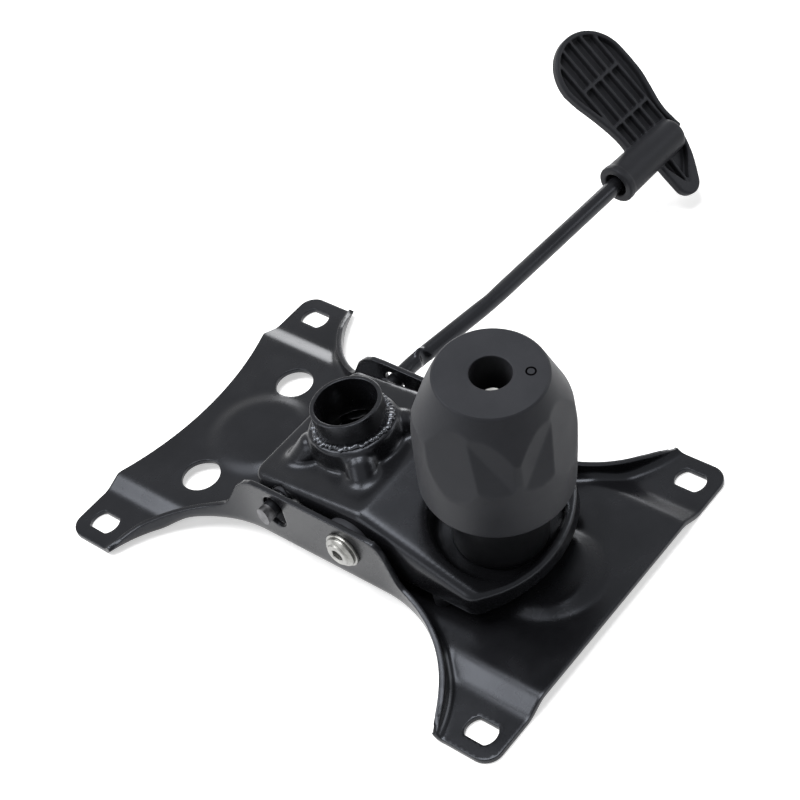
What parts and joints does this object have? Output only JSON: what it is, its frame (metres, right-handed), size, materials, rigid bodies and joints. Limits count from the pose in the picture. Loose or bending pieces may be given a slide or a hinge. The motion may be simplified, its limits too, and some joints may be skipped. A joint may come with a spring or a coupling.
{
  "type": "office chair tilt mechanism",
  "caption": "Pressed steel seat plate and tilting housing with a gas lift socket, a spring tension knob and a bent side lever with a ribbed plastic handle.",
  "frame": {"origin": "middle of the four seat bolt slots, on the face that meets the seat", "axes": "+X across the chair to the lever's side, +Y to the rear of the chair, +Z away from the seat"},
  "size_m": [0.3394, 0.244, 0.1261],
  "materials": {
    "painted_steel": "satin",
    "zinc": "satin",
    "bright_steel": "satin",
    "dark_plastic": "matte",
    "nylon": "matte",
    "rubber": "matte"
  },
  "bodies": {
    "plate": {"seat_plate": "painted_steel", "screw_bracket": "painted_steel", "cross_pin": "zinc", "front_buffers": "rubber", "rear_buffers": "rubber", "pivot_bolt": "zinc", "pivot_washers": "zinc", "pivot_nut": "zinc"},
    "housing": {"tilt_housing": "painted_steel", "gas_lift_socket": "painted_steel", "socket_weld": "painted_steel", "pivot_bushes": "nylon", "friction_discs": "nylon", "pivot_spacer": "bright_steel", "rod_bushes": "nylon", "spring_cup": "dark_plastic", "tension_spring": "bright_steel"},
    "screw": {"tension_screw": "zinc"},
    "thrust": {"thrust_washer": "zinc"},
    "knob": {"tension_knob": "dark_plastic", "knob_nut": "zinc"},
    "collar": {"lock_collar": "nylon"},
    "lever": {"lever_rod": "painted_steel", "rod_pins": "zinc", "release_tongue": "bright_steel", "lever_handle": "dark_plastic"}
  },
  "joints": [
    {"name": "tilt", "type": "hinge", "parent": "plate", "child": "housing", "pos_m": [0, -0.0166, 0.026], "axis": [-1, 0, 0], "range_deg": [0, 10], "stiffness_Nm_per_rad": 120, "springref_deg": -5.73, "deforming": ["tension_spring"]},
    {"name": "screw_swivel", "type": "hinge", "parent": "plate", "child": "screw", "pos_m": [0, -0.0648, 0.012], "axis": [-1, 0, 0], "range_deg": [0, 6]},
    {"name": "tension_slide", "type": "slide", "parent": "screw", "child": "thrust", "axis": [0, -0.1461, 0.9893], "range_m": [-0.01, 0.004], "deforming": ["tension_spring"]},
    {"name": "knob_turn", "type": "hinge", "parent": "thrust", "child": "knob", "pos_m": [0, -0.0648, 0.012], "axis": [0, -0.1461, 0.9893], "range_deg": [-1800, 720], "deforming": ["tension_spring"]},
    {"name": "lever_slide", "type": "slide", "parent": "housing", "child": "collar", "axis": [1, 0, 0], "range_m": [-0.012, 0]},
    {"name": "lever_turn", "type": "hinge", "parent": "collar", "child": "lever", "pos_m": [0, 0.023, 0.03], "axis": [1, 0, 0], "range_deg": [-25, 0], "stiffness_Nm_per_rad": 0.6, "springref_deg": 14.32}
  ],
  "couplings": [
    {"joint": "screw_swivel", "follows": "tilt", "ratio": 0.6},
    {"joint": "tension_slide", "follows": "knob_turn", "m_per_rad": 0.00031831}
  ]
}
